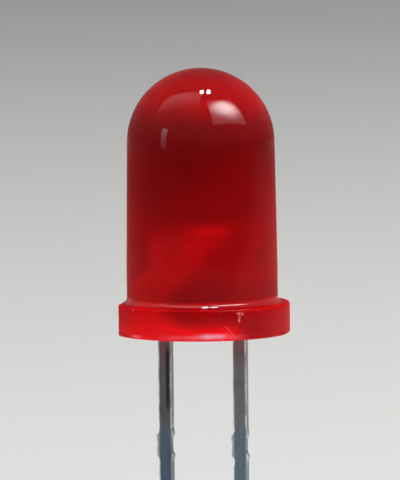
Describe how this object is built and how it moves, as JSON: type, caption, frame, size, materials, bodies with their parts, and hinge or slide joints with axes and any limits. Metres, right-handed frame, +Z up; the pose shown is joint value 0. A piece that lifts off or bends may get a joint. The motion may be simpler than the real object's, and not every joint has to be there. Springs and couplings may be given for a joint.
{
  "type": "through hole led",
  "caption": "Round-domed indicator light in diffused red epoxy, with a flanged base, a flat on the cathode side and straight square leads.",
  "frame": {"origin": "on the optical axis in the seating plane, which is the underside of the flange", "axes": "+Z up the optical axis towards the dome; +X from the cathode lead towards the anode lead, so the flange's flat faces -X"},
  "size_m": [0.0055, 0.0058, 0.0359],
  "materials": {
    "red_epoxy": "cast glossy epoxy, tinted red and slightly cloudy",
    "tinned_steel": "matt tin plating, bare where the tie bar was sheared",
    "silver_adhesive": "cured silver-filled epoxy",
    "semiconductor": "sawn crystal",
    "gold": "drawn and plated gold"
  },
  "bodies": {
    "root": {"lens_body": "red_epoxy", "cathode_lead": "tinned_steel", "anode_lead": "tinned_steel", "die_attach": "silver_adhesive", "led_die": "semiconductor", "die_bond_pad": "gold", "bond_wire": "gold"}
  },
  "joints": []
}
